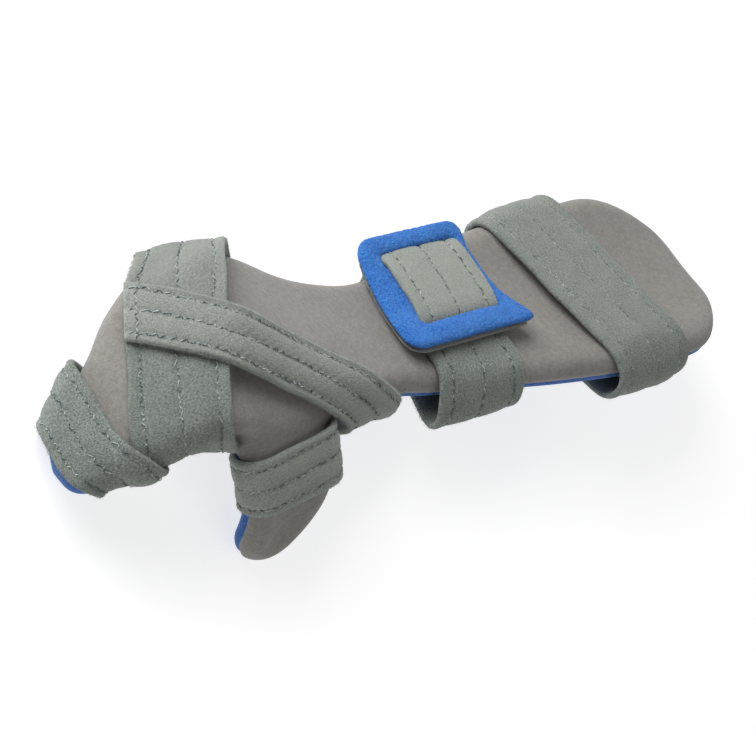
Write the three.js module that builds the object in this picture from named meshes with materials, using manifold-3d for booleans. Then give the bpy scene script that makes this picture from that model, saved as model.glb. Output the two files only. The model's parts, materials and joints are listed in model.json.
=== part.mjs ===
// Resting hand splint for a right hand, with its straps fastened and no arm in it.
// Lengths are in millimetres. The splint's own frame has its origin at the middle of the
// wrist: +X runs up the forearm, +Y to the little-finger side and +Z up out of the face
// that the arm lies on. The outer group then sets the splint down on the floor, +Z up.

import * as THREE from "three";
import { mergeVertices } from "three/addons/utils/BufferGeometryUtils.js";
import Module from "manifold-3d";

const wasm = await Module();
wasm.setup();

// Driving dimensions of the padded body: a foam board with a grey face and a blue back.
const BOARD_THICKNESS = 16;
const THUMB_THICKNESS = 14;
const BACK_SHARE = 0.36; // the blue back's share of the thickness
const SEAM_GAP = 0.3;
const STATION_STEP = 13.5;

// Straps: soft plush bands, wrapped round the body and closed on themselves.
const STRAP_THICKNESS = 3.6;
const STRAP_EDGE_SHARE = 0.6; // the thickness left at a strap's rolled edges
const STRAP_GAP = 0.8;
const STRAP_STATIONS = 38;
const BROAD_STRAP = 46;
const HAND_STRAP = 38;
const DIAGONAL_STRAP = 24;
const FINGER_STRAP = 26;
const THUMB_STRAP = 25;
const BODY_CLEARANCE = 1.1; // where the thumb and palm crowd a strap

// Wrist cushion: a two-layer pad with two slits that the wrist strap is threaded through.
const CUSHION_LENGTH = 70; // along the forearm
const CUSHION_WIDTH = 58; // along the strap
const CUSHION_OFFSET = 8; // of its middle, towards the little-finger side
const CUSHION_CORNER = 12;
const CUSHION_THICKNESS = 5.2;
const CUSHION_BACKING = 1.8;
const CUSHION_SEAM = 1.1; // between the two layers
const WINDOW_WIDTH = 36; // between the middles of the slits
const SLIT_WIDTH = 8;

// How the splint lies on the floor: rolled to its little-finger side, on the thumb's tip and
// on the undersides of the finger, wrist and forearm straps, which are pressed a little flat.
const REST_ROLL_DEG = -24.4;
const REST_PITCH_DEG = -0.47;
const REST_HEIGHT = 20.2; // of the wrist's middle above the floor

// Cross-sections of the body from the elbow end to the finger end. x, y, z is the middle of
// the section, far and near are its half-widths towards the little finger and the thumb, and
// the drops say how far each edge turns down: a negative drop turns it up into a trough.
const BODY_ROWS = [
  { x: 203, y: -4, z: 0, far: 46, near: 44, farDrop: -7, nearDrop: -7 },
  { x: 165, y: -4, z: 0, far: 45.5, near: 46, farDrop: -7, nearDrop: -6 },
  { x: 130, y: -4, z: 0, far: 44.5, near: 46, farDrop: -6, nearDrop: -5 },
  { x: 90, y: -3, z: 0, far: 41.5, near: 42.5, farDrop: -5, nearDrop: -4 },
  { x: 50, y: -2, z: 0, far: 36, near: 36.5, farDrop: -2, nearDrop: -2 },
  { x: 20, y: -2.5, z: 0, far: 30.7, near: 30.7, farDrop: 0, nearDrop: 0 },
  { x: 0, y: -1.3, z: 0, far: 27.9, near: 27.9, farDrop: 0, nearDrop: 0 },
  { x: -25, y: 0, z: 4, far: 29.2, near: 29.2, farDrop: 0, nearDrop: 1 },
  { x: -50, y: 0, z: 11, far: 34.2, near: 34.4, farDrop: 0, nearDrop: 5 },
  { x: -75, y: 2, z: 19, far: 40.2, near: 40, farDrop: 0, nearDrop: 10 },
  { x: -95, y: 2, z: 24.5, far: 40.5, near: 40.5, farDrop: 0, nearDrop: 14 },
  { x: -112, y: 0, z: 26, far: 38, near: 37.5, farDrop: 0, nearDrop: 14 },
  { x: -127, y: -3.4, z: 22, far: 33.5, near: 33.5, farDrop: 1, nearDrop: 10 },
  { x: -140, y: -7.8, z: 14, far: 27.5, near: 27.5, farDrop: 2, nearDrop: 5 },
  { x: -152, y: -11.5, z: 2, far: 22.5, near: 22.5, farDrop: 2, nearDrop: 2 },
  { x: -165.5, y: -14.5, z: -17, far: 18.5, near: 19, farDrop: 2, nearDrop: 2 },
];
const BODY_ENDS = { firstFar: 46, firstNear: 34, lastFar: 18.5, lastNear: 19 };

// Cross-sections of the thumb rest from its root in the palm to its tip. Here far is the
// half-width towards the fingers and near the half-width towards the wrist.
const THUMB_ROWS = [
  { x: -80, y: -20, z: 14, far: 19, near: 20, farDrop: 0, nearDrop: 0 },
  { x: -79.5, y: -38, z: 2, far: 21, near: 22, farDrop: -1, nearDrop: -1 },
  { x: -78, y: -48, z: -15, far: 18.5, near: 23.5, farDrop: -3, nearDrop: -3 },
  { x: -81, y: -54, z: -32, far: 14.5, near: 18.5, farDrop: -3, nearDrop: -3 },
  { x: -88, y: -57, z: -45.5, far: 9, near: 11, farDrop: -2, nearDrop: -2 },
];
const THUMB_ENDS = { firstFar: 1, firstNear: 1, lastFar: 9, lastNear: 11 };

const FINGERWARD = new THREE.Vector3(-1, 0, 0);
const LITTLE_SIDE = new THREE.Vector3(0, 1, 0);
const UP = new THREE.Vector3(0, 0, 1);

const material = (colour, roughness) =>
  new THREE.MeshStandardMaterial({ color: colour, roughness, metalness: 0 });
const GREY_FACE = material(0x8b8984, 0.95);
const BLUE_BACK = material(0x3566b8, 0.95);
const PLUSH = material(0x8a948c, 1);
const BLUE_PLUSH = material(0x2f73dd, 0.95);

// Meshes and solids

function solidOf(geometry) {
  const bare = new THREE.BufferGeometry();
  bare.setAttribute("position", geometry.getAttribute("position"));
  bare.setIndex(geometry.getIndex());
  const merged = mergeVertices(bare, 1e-4);
  return new wasm.Manifold(
    new wasm.Mesh({
      numProp: 3,
      vertProperties: new Float32Array(merged.getAttribute("position").array),
      triVerts: new Uint32Array(merged.getIndex().array),
    }),
  );
}

function geometryOf(solid) {
  const mesh = solid.getMesh();
  const geometry = new THREE.BufferGeometry();
  geometry.setAttribute("position", new THREE.BufferAttribute(mesh.vertProperties, 3));
  geometry.setIndex(new THREE.BufferAttribute(mesh.triVerts, 1));
  geometry.computeVertexNormals();
  return geometry;
}

// Joins rings of equal length into a closed skin. A loop's last ring meets its first, and an
// open loft gets end caps, whose flat outlines are given by capOutlines.
function loft(rings, capOutlines) {
  const size = rings[0].length;
  const positions = rings.flat().flatMap((p) => [p.x, p.y, p.z]);
  const index = [];
  const spans = capOutlines ? rings.length - 1 : rings.length;
  for (let i = 0; i < spans; i++) {
    const here = i * size;
    const next = ((i + 1) % rings.length) * size;
    for (let k = 0; k < size; k++) {
      const k2 = (k + 1) % size;
      index.push(here + k, next + k, next + k2, here + k, next + k2, here + k2);
    }
  }
  if (capOutlines) {
    const cap = (outline, start, turned) => {
      for (const [a, b, c] of THREE.ShapeUtils.triangulateShape(outline, []))
        index.push(start + a, start + (turned ? c : b), start + (turned ? b : c));
    };
    const turned = THREE.ShapeUtils.isClockWise(capOutlines[0]);
    cap(capOutlines[0], 0, turned);
    cap(capOutlines[1], (rings.length - 1) * size, !turned);
  }
  const geometry = new THREE.BufferGeometry();
  geometry.setAttribute("position", new THREE.Float32BufferAttribute(positions, 3));
  geometry.setIndex(index);
  return geometry;
}

// Padded boards: the body and the thumb rest

const RIM_STEPS = 4;
const FLAT_STEPS = 5;
const SEAM_STEPS = 4;
const END_SHARES = [0, 0.06, 0.22, 0.5, 1]; // of the length that rounds off at a board's ends
const END_LENGTH = 1.6; // that length, in half-thicknesses
const END_THICKNESS = 0.2; // the share of the thickness left at the very end
const END_WIDTH = 4; // the half-width left there

// Reads a table of cross-sections as smooth functions of the length along its middle line.
function smoothTable(rows) {
  const names = Object.keys(rows[0]);
  const along = [0];
  for (let i = 1; i < rows.length; i++) {
    const [a, b] = [rows[i - 1], rows[i]];
    along.push(along[i - 1] + Math.hypot(b.x - a.x, b.y - a.y, b.z - a.z));
  }
  const values = rows.flatMap((row) => names.map((name) => row[name]));
  const curve = new THREE.CubicInterpolant(along, values, names.length);
  const at = (s) => {
    const found = curve.evaluate(THREE.MathUtils.clamp(s, 0, along.at(-1)));
    return Object.fromEntries(names.map((name, i) => [name, found[i]]));
  };
  return { at, length: along.at(-1) };
}

// The half-width that a rounded corner leaves at a distance from the board's end.
function cornered(halfWidth, radius, distance) {
  const short = THREE.MathUtils.clamp(radius - distance, 0, radius);
  return halfWidth - radius + Math.sqrt(radius ** 2 - short ** 2);
}

// One layer of a padded board, between two heights given as shares of the half-thickness,
// from -1 at the back to 1 at the face. The board's rim is a half-round.
function paddedLayer({ rows, ends, sideways, thickness, bottom, top, grow = 0 }) {
  const table = smoothTable(rows);
  const rim = thickness / 2;
  const stations = [];
  const endSteps = END_SHARES.map((share) => share * rim * END_LENGTH);
  for (const d of endSteps) stations.push(d);
  const middle = table.length - 2 * endSteps.at(-1);
  const count = Math.round(middle / STATION_STEP);
  for (let i = 1; i < count; i++) stations.push(endSteps.at(-1) + (middle * i) / count);
  for (const d of endSteps.toReversed()) stations.push(table.length - d);

  const outlines = [];
  const rings = stations.map((s) => {
    const row = table.at(s);
    const ahead = table.at(s + 0.5);
    const behind = table.at(s - 0.5);
    const along = new THREE.Vector3(ahead.x - behind.x, ahead.y - behind.y, ahead.z - behind.z);
    along.normalize();
    const across = sideways.clone().addScaledVector(along, -along.dot(sideways)).normalize();
    const normal = across.clone().cross(along);
    const [d0, d1] = [s, table.length - s];
    const half = Math.max(cornered(rim, rim, Math.min(d0, d1)), END_THICKNESS * rim) + grow;
    const reach = (width, first, last) =>
      Math.max(Math.min(cornered(width, first, d0), cornered(width, last, d1)), END_WIDTH) + grow;
    const far = reach(row.far, ends.firstFar, ends.lastFar);
    const near = reach(row.near, ends.firstNear, ends.lastNear);
    const outline = layerOutline({ far, near, rim, half, bottom, top, row });
    outlines.push(outline);
    const middle = new THREE.Vector3(row.x, row.y, row.z);
    middle.addScaledVector(along, d0 === 0 ? -grow : d1 === 0 ? grow : 0);
    return outline.map(({ x, y }) =>
      middle.clone().addScaledVector(across, x).addScaledVector(normal, y),
    );
  });
  return loft(rings, [outlines[0], outlines.at(-1)]);
}

// A layer's cross-section, as points across (x) and up (y), counter-clockwise from its near
// lower corner: the underside, the far rim, the top and the near rim.
function layerOutline({ far, near, rim, half, bottom, top, row }) {
  const place = (v, height) => {
    const [reach, drop] = v > 0 ? [row.far, row.farDrop] : [row.near, row.nearDrop];
    const slope = (-2 * drop * v) / reach ** 2;
    const lean = Math.hypot(1, slope);
    return new THREE.Vector2(
      v - (slope / lean) * height,
      -drop * (v / reach) ** 2 + height / lean,
    );
  };
  const [low, high] = [Math.asin(bottom), Math.asin(top)];
  const rimReach = (angle) => Math.min(rim, far, near) * (Math.cos(angle) - 1);
  const points = [];
  const flat = (angle, from, to) => {
    const steps = Math.cos(angle) < 1e-6 ? FLAT_STEPS : SEAM_STEPS;
    for (let i = 1; i < steps; i++) {
      const v = THREE.MathUtils.lerp(from, to, i / steps);
      points.push(place(v, half * Math.sin(angle)));
    }
  };
  const rimArc = (from, to, side) => {
    for (let i = 0; i <= RIM_STEPS; i++) {
      const angle = THREE.MathUtils.lerp(from, to, i / RIM_STEPS);
      const v = side > 0 ? far + rimReach(angle) : -near - rimReach(angle);
      points.push(place(v, half * Math.sin(angle)));
    }
  };
  flat(low, -near - rimReach(low), far + rimReach(low));
  rimArc(low, high, 1);
  flat(high, far + rimReach(high), -near - rimReach(high));
  rimArc(high, low, -1);
  return points;
}

// The two layers of a board, and the whole of it, each as it is or grown by a gap all round.
const seamShare = (thickness, side) => 2 * BACK_SHARE - 1 + (side * SEAM_GAP) / thickness;
const board = (thickness, rest) => ({
  face: (grow = 0) => {
    const bottom = seamShare(thickness, 1) - (1.3 * grow) / thickness;
    return paddedLayer({ ...rest, thickness, bottom, top: 1, grow });
  },
  back: (grow) =>
    paddedLayer({ ...rest, thickness, bottom: -1, top: seamShare(thickness, -1), grow }),
  whole: (grow) => paddedLayer({ ...rest, thickness, bottom: -1, top: 1, grow }),
});
const bodyBoard = board(BOARD_THICKNESS, {
  rows: BODY_ROWS,
  ends: BODY_ENDS,
  sideways: LITTLE_SIDE,
});
const thumbBoard = board(THUMB_THICKNESS, {
  rows: THUMB_ROWS,
  ends: THUMB_ENDS,
  sideways: FINGERWARD,
});

const splint = new THREE.Group();
splint.rotation.set(
  THREE.MathUtils.degToRad(REST_ROLL_DEG),
  THREE.MathUtils.degToRad(REST_PITCH_DEG),
  0,
);
splint.position.z = REST_HEIGHT;
splint.updateMatrix();

function add(name, geometry, finish) {
  const mesh = new THREE.Mesh(geometry, finish);
  mesh.name = name;
  splint.add(mesh);
}

// What of a piece is above the floor that the splint lies on.
function pressedFlat(solid) {
  const floor = new THREE.BoxGeometry(800, 800, 50).translate(0, 0, -25);
  floor.applyMatrix4(splint.matrix.clone().invert());
  return geometryOf(solid.subtract(solidOf(floor)));
}

const face = solidOf(bodyBoard.face()).add(solidOf(thumbBoard.face()));
const faceRoom = solidOf(bodyBoard.face(SEAM_GAP)).add(solidOf(thumbBoard.face(SEAM_GAP)));
const back = solidOf(bodyBoard.back()).add(solidOf(thumbBoard.back())).subtract(faceRoom);
add("padded_face", geometryOf(face), GREY_FACE);
add("padded_back", pressedFlat(back), BLUE_BACK);

// Straps

const SLAB_STEPS = 5;
const BEND_WEIGHT = 14; // the length that a bend of one radian counts for among the stations
const EDGE_SHARES = [-0.5, -0.42, 0, 0.42, 0.5]; // across a band's width

// The points where planes across a band meet the body, seen along the band's width: across
// the body (x) and up (y). The planes lie between two levels of the band's width.
function slabPoints(geometries, frame, from, to) {
  const points = [];
  const corners = [new THREE.Vector3(), new THREE.Vector3(), new THREE.Vector3()];
  for (const geometry of geometries) {
    const position = geometry.getAttribute("position");
    const index = geometry.getIndex();
    for (let i = 0; i < index.count; i += 3) {
      corners.forEach((corner, k) =>
        corner.fromBufferAttribute(position, index.getX(i + k)).applyMatrix4(frame.inward),
      );
      for (let k = 0; k < 3; k++) {
        const [a, b] = [corners[k], corners[(k + 1) % 3]];
        for (let step = 0; step <= SLAB_STEPS; step++) {
          const level = THREE.MathUtils.lerp(from, to, step / SLAB_STEPS);
          if (a.z > level === b.z > level) continue;
          const share = (level - a.z) / (b.z - a.z);
          points.push(new THREE.Vector2(a.x, a.y).lerp(new THREE.Vector2(b.x, b.y), share));
        }
      }
    }
  }
  return points;
}

// A band's frame: x across the body to its far side, y up and z along the band's width.
function bandFrame(origin, across, along) {
  const z = along.clone().normalize();
  const x = across.clone().addScaledVector(z, -z.dot(across)).normalize();
  const y = z.clone().cross(x);
  const outward = new THREE.Matrix4().makeBasis(x, y, z).setPosition(origin);
  return { outward, inward: outward.clone().invert() };
}

// A frame for a band across the body. Skew swings its near end towards the elbow, and pitch
// tips its finger edge down.
function bodyFrame(x, y, z, skewDeg, pitchDeg) {
  const turn = new THREE.Matrix4().makeRotationZ(THREE.MathUtils.degToRad(skewDeg));
  turn.multiply(new THREE.Matrix4().makeRotationY(THREE.MathUtils.degToRad(-pitchDeg)));
  const across = LITTLE_SIDE.clone().transformDirection(turn);
  const elbowward = FINGERWARD.clone().negate().transformDirection(turn);
  return bandFrame(new THREE.Vector3(x, y, z), across, elbowward);
}

// The taut line round a cloud of points, counter-clockwise.
function tautLine(points) {
  const sorted = [...points].sort((a, b) => a.x - b.x || a.y - b.y);
  const chain = (list) => {
    const kept = [];
    for (const p of list) {
      while (kept.length > 1) {
        const [a, b] = kept.slice(-2);
        if ((b.x - a.x) * (p.y - a.y) - (b.y - a.y) * (p.x - a.x) > 1e-9) break;
        kept.pop();
      }
      kept.push(p);
    }
    return kept.slice(0, -1);
  };
  return [...chain(sorted), ...chain(sorted.toReversed())];
}

// The outward directions along a closed counter-clockwise line.
function outwardOf(line) {
  return line.map((_, i) => {
    const ahead = line[(i + 1) % line.length];
    const behind = line[(i + line.length - 1) % line.length];
    return new THREE.Vector2(ahead.y - behind.y, behind.x - ahead.x).normalize();
  });
}

// Splits a closed line into points a set distance apart, starting from its near extreme.
function evenly(line, step) {
  const start = line.reduce((best, p, i) => (p.x < line[best].x ? i : best), 0);
  const points = [];
  for (let i = 0; i < line.length; i++) {
    const a = line[(start + i) % line.length];
    const b = line[(start + i + 1) % line.length];
    const count = Math.max(1, Math.round(a.distanceTo(b) / step));
    for (let k = 0; k < count; k++) points.push(a.clone().lerp(b, k / count));
  }
  return points;
}

function smoothed(line, passes) {
  let points = line;
  for (let pass = 0; pass < passes; pass++) {
    points = points.map((p, i) => {
      const ahead = points[(i + 1) % points.length];
      const behind = points[(i + points.length - 1) % points.length];
      return p.clone().multiplyScalar(2).add(ahead).add(behind).divideScalar(4);
    });
  }
  return points;
}

// Picks stations along a closed line that starts at its near extreme, closer together where
// it bends: half of them run underneath to the far extreme and half come back on top.
function stationsOf(line, count) {
  const normals = outwardOf(line);
  const far = line.reduce((best, p, i) => (p.x > line[best].x ? i : best), 0);
  const pick = (first, last) => {
    const sums = [0];
    for (let i = first; i < last; i++) {
      const next = (i + 1) % line.length;
      const bend = Math.acos(THREE.MathUtils.clamp(normals[i].dot(normals[next]), -1, 1));
      sums.push(sums.at(-1) + line[i].distanceTo(line[next]) + BEND_WEIGHT * bend);
    }
    const half = count / 2;
    return Array.from({ length: half }, (_, k) => {
      const past = sums.findIndex((sum) => sum >= (sums.at(-1) * k) / half);
      const i = (first + past) % line.length;
      return { point: line[i], normal: normals[i] };
    });
  };
  return [...pick(0, far), ...pick(far, line.length)];
}

// The inner side of a band pulled round some geometry, at one edge, the middle and the other
// edge of its width: the band follows the form under each of the three. A slack is a bulge of
// an amount towards a direction, which dies away over a spread from where the band turns there.
// A thread function lifts the points on top.
function pulledBand({ around, frame, width, gap, stations, slacks = [], thread }) {
  const lines = [-0.5, 0, 0.5].map((share) => {
    const [from, to] = [Math.max(share - 0.25, -0.5), Math.min(share + 0.25, 0.5)];
    const taut = evenly(tautLine(slabPoints(around, frame, from * width, to * width)), 1.5);
    const normals = outwardOf(taut);
    let line = taut.map((p, i) => p.clone().addScaledVector(normals[i], gap ?? STRAP_GAP));
    line = smoothed(line, 3);
    for (const { x, y, amount, spread } of slacks) {
      const towards = new THREE.Vector2(x, y).normalize();
      const turn = line.reduce((best, p) => (p.dot(towards) > best.dot(towards) ? p : best));
      const facing = outwardOf(line).map((normal) => Math.max(normal.dot(towards), 0));
      line = line.map((p, i) => {
        const fade = Math.exp(-((p.distanceTo(turn) / spread) ** 2)) * facing[i];
        return p.clone().addScaledVector(towards, amount * fade);
      });
    }
    if (thread) line = evenly(line.map(thread), 1.2);
    return stationsOf(smoothed(line, 2), stations ?? STRAP_STATIONS);
  });
  return { lines, frame, width };
}

// A soft band with rolled edges on its pulled lines. First and last choose a stretch of the
// stations, for a band with two ends.
function band({ lines, frame, width }, stretch) {
  const rolled = EDGE_SHARES.map((edge) => (Math.abs(edge) < 0.5 ? 1 : STRAP_EDGE_SHARE));
  const outline = [
    ...EDGE_SHARES.map((edge, i) => new THREE.Vector2(edge, rolled[i] * STRAP_THICKNESS)),
    ...EDGE_SHARES.map((edge) => new THREE.Vector2(edge, 0)).reverse(),
  ];
  const count = lines[1].length;
  const { first, last } = stretch ?? { first: 0, last: count - 1 };
  const rings = [];
  for (let i = first; i <= last; i++) {
    const [low, middle, high] = lines.map((line) => line[i % count]);
    const ring = outline.map(({ x, y }) => {
      const edge = x < 0 ? low : high;
      const normal = middle.normal.clone().lerp(edge.normal, 2 * Math.abs(x)).normalize();
      const p = middle.point.clone().lerp(edge.point, 2 * Math.abs(x)).addScaledVector(normal, y);
      return new THREE.Vector3(p.x, p.y, x * width).applyMatrix4(frame.outward);
    });
    rings.push(ring);
  }
  return solidOf(loft(rings, stretch && [outline, outline]));
}

const plate = [bodyBoard.face(), bodyBoard.back()];
const thumb = [thumbBoard.face(), thumbBoard.back()];
const bodyRoom = solidOf(bodyBoard.whole(BODY_CLEARANCE)).add(
  solidOf(thumbBoard.whole(BODY_CLEARANCE)),
);

const forearmStrap = band(
  pulledBand({
    around: plate,
    frame: bodyFrame(125.5, -4, 0, 13.4, 11),
    width: BROAD_STRAP,
    gap: 1.1,
    slacks: [{ x: -0.5, y: -0.9, amount: 3, spread: 16 }],
  }),
);
add("forearm_strap", pressedFlat(forearmStrap), PLUSH);

const handFrame = bodyFrame(-122.9, -2, 24, -33.8, 30);
const handStrap = band(
  pulledBand({
    around: plate,
    frame: handFrame,
    width: HAND_STRAP,
    slacks: [{ x: 0.8, y: 0.6, amount: 4, spread: 16 }],
  }),
).subtract(bodyRoom);
add("hand_strap", geometryOf(handStrap), PLUSH);

// The diagonal strap is cut off along the hand strap's finger edge, lies over the hand strap
// and the palm, turns under the wrist's thumb edge and ends on the back.
const diagonalWhole = band(
  pulledBand({
    around: [...plate, geometryOf(handStrap)],
    stations: 64,
    frame: bodyFrame(-51.3, -25.6, 12, 55.8, 31),
    gap: 1.3,
    width: DIAGONAL_STRAP,
  }),
  { first: 37, last: 67 },
);
const beyondHand = new THREE.BoxGeometry(400, 400, 200).translate(0, 0, -100 - HAND_STRAP / 2);
beyondHand.applyMatrix4(handFrame.outward);
const diagonalStrap = diagonalWhole.subtract(solidOf(beyondHand)).subtract(bodyRoom);
add("diagonal_strap", geometryOf(diagonalStrap), PLUSH);

const fingerStrap = band(
  pulledBand({
    around: [...plate, geometryOf(handStrap)],
    frame: bodyFrame(-161.6, -13, 0.3, 8.7, 48),
    width: FINGER_STRAP,
    slacks: [{ x: 0.9, y: 0.4, amount: 3, spread: 12 }],
  }),
);
add("finger_strap", pressedFlat(fingerStrap), PLUSH);

const thumbFrame = bandFrame(
  new THREE.Vector3(-81, -39, -9),
  FINGERWARD,
  new THREE.Vector3(-3, 10, 12.3),
);
const thumbStrap = band(
  pulledBand({ around: thumb, frame: thumbFrame, width: THUMB_STRAP }),
).subtract(bodyRoom);
add("thumb_strap", geometryOf(thumbStrap), PLUSH);

// The wrist strap comes up through the cushion's first slit, lies over its middle and goes
// down through the second, so the cushion's two ends lie on the strap.
const wristFrame = bodyFrame(36, -2, 0, 0, 2);
const offWindow = (x, from, to) =>
  THREE.MathUtils.smoothstep(Math.abs(x - CUSHION_OFFSET), from, to);
const slitInside = (WINDOW_WIDTH - SLIT_WIDTH) / 2;
const slitOutside = (WINDOW_WIDTH + SLIT_WIDTH) / 2;
// The line that the cushion's middle lies on, from rim to rim of the body.
const cushionBase = tautLine(
  slabPoints(plate, wristFrame, -CUSHION_LENGTH / 2, CUSHION_LENGTH / 2),
);
const CUSHION_LEVEL = Math.max(...cushionBase.map((p) => p.y)) + STRAP_GAP;
const threadUp = (p) => {
  if (p.y < 0) return p;
  const share = 1 - offWindow(p.x, slitInside, slitOutside - 2);
  const over = CUSHION_LEVEL + CUSHION_THICKNESS + 2 * STRAP_GAP;
  return new THREE.Vector2(p.x, THREE.MathUtils.lerp(p.y, over, share));
};
const wristStrap = band(
  pulledBand({
    around: plate,
    frame: wristFrame,
    width: BROAD_STRAP,
    stations: 50,
    slacks: [{ x: -0.45, y: -0.9, amount: 11, spread: 18 }],
    thread: threadUp,
  }),
);
add("wrist_strap", pressedFlat(wristStrap), PLUSH);

// One layer of the cushion, between two heights. Its border lies on the strap's two ends, and
// its rim is rounded off.
const CORNER_SHARES = [0, 0.08, 0.3, 0.62, 1];
const ACROSS_SHARES = [1, 0.97, 0.9, 0.76, 0.67, 0.57, 0.48];
const CUSHION_RIM = 3;
function cushionLayer(low, high) {
  const ends = CORNER_SHARES.map((share) => share * CUSHION_CORNER);
  const half = CUSHION_LENGTH / 2;
  const stations = [
    ...ends.map((d) => d - half),
    ...ends.map((d) => half - d).reverse(),
  ];
  const edge = CUSHION_WIDTH / 2;
  const shares = ACROSS_SHARES.map((share) => share * edge);
  const across = [...shares.map((x) => -x), 0, ...shares.toReversed()];
  const outlines = [];
  const rings = stations.map((along) => {
    const inset = half - Math.abs(along);
    const reach = cornered(edge, CUSHION_CORNER, inset);
    const height = (x, level) => {
      const round = cornered(1, 1, Math.min(inset, edge - Math.abs(x)) / CUSHION_RIM + 0.15);
      const border = Math.max(
        offWindow(x + CUSHION_OFFSET, slitInside, slitOutside),
        THREE.MathUtils.smoothstep(Math.abs(along), BROAD_STRAP / 2, BROAD_STRAP / 2 + 5),
      );
      const rise = border * (STRAP_THICKNESS + STRAP_GAP);
      const middle = (low + high) / 2;
      return CUSHION_LEVEL + rise + middle + (level - middle) * round;
    };
    const outline = [
      ...across.map((x) => new THREE.Vector2((x * reach) / edge, height(x, high))),
      ...across.map((x) => new THREE.Vector2((x * reach) / edge, height(x, low))).reverse(),
    ];
    outlines.push(outline);
    return outline.map(({ x, y }) =>
      new THREE.Vector3(x + CUSHION_OFFSET, y, along).applyMatrix4(wristFrame.outward),
    );
  });
  let solid = solidOf(loft(rings, [outlines[0], outlines.at(-1)]));
  for (const side of [-1, 1]) {
    const slit = new THREE.BoxGeometry(SLIT_WIDTH, 60, BROAD_STRAP + 6);
    slit.translate(CUSHION_OFFSET + (side * WINDOW_WIDTH) / 2, CUSHION_LEVEL, 0);
    solid = solid.subtract(solidOf(slit.applyMatrix4(wristFrame.outward)));
  }
  return geometryOf(solid);
}
add("cushion_backing", cushionLayer(0, CUSHION_BACKING), GREY_FACE);
add("cushion_face", cushionLayer(CUSHION_BACKING + CUSHION_SEAM, CUSHION_THICKNESS), BLUE_PLUSH);

// The origin is under the middle of the whole splint's box.
const part = new THREE.Group();
part.add(splint);
part.updateMatrixWorld(true);
const middle = new THREE.Box3().setFromObject(part, true).getCenter(new THREE.Vector3());
splint.position.x -= middle.x;
splint.position.y -= middle.y;

export default part;
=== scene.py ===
import json
import math

import bpy
import numpy as np
from mathutils import Matrix, Vector
from mathutils.bvhtree import BVHTree
from mathutils.kdtree import KDTree

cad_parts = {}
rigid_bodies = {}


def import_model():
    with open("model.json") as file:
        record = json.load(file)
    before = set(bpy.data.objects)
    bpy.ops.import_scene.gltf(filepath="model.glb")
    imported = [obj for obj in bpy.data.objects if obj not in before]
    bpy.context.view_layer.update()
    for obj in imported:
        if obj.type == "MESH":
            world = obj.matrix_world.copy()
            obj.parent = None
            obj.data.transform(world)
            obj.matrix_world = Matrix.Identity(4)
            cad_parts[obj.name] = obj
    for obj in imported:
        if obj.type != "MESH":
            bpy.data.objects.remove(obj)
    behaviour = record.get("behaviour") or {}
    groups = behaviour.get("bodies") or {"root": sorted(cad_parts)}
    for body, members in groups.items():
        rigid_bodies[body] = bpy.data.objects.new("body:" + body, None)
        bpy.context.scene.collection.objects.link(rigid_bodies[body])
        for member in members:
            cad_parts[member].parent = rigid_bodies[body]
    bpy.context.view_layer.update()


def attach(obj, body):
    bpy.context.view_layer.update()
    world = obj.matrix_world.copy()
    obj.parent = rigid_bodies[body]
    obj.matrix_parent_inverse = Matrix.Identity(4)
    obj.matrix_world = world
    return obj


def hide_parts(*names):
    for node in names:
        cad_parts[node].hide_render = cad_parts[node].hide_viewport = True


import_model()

# Padded body
# A bent stiffener between two sheets of foam, in a cover of grey knit on the arm's side and blue
# brushed loop cloth on the back. The two cloths meet in a seam low on the rounded rim, and the
# thumb rest is cut in one piece with the palm.

# The splint's own frame is in millimetres: from the wrist's middle, x up the forearm, y to the
# little-finger side and z up out of the face. It lies rolled to its little-finger side.
WRIST = np.array([-14.785, 8.83, 20.2])
REST_ROLL = math.radians(-24.4)
REST_PITCH = math.radians(-0.47)
REST = np.array(Matrix.Rotation(REST_ROLL, 3, "X") @ Matrix.Rotation(REST_PITCH, 3, "Y"))
BOARD_THICKNESS = 16
THUMB_THICKNESS = 14
SEAM_LEVEL = -0.28  # as a share of the half-thickness
TIP_SEAM_LIFT = 1.6  # the blue cloth turns up over the finger end
FOLD_SEAM_DROP = 6  # the grey cloth runs down into the fold at the thumb's root
TIP_SEAM_REACH = (3, 16)  # from the end, over which that lift fades out
FOLD_REACH = (3, 12)  # from the thumb or the palm, over which that fold fades out
COVER_THICKNESS = 1.4
FLOOR_CLEARANCE = 0.2
RING_STEP = 1.5
LAST_STEP = 0.7  # the least distance left before the rings of a rounded end
END_RINGS = 12
END_ROUNDING = 1.6  # of the half-thickness, where those rings lie
END_EDGE = 0.04  # of the half-thickness, left at the very end
LEAST_REACH = 4  # the half-width left at the very end
FLAT_POINTS = 58  # of a ring, on each face
RIM_POINTS = 33  # of a ring, round each rim
BODY_VOXEL = 1.25
LITTLE_SIDE = np.array([0, 1, 0])
FINGERWARD = np.array([-1, 0, 0])

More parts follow.
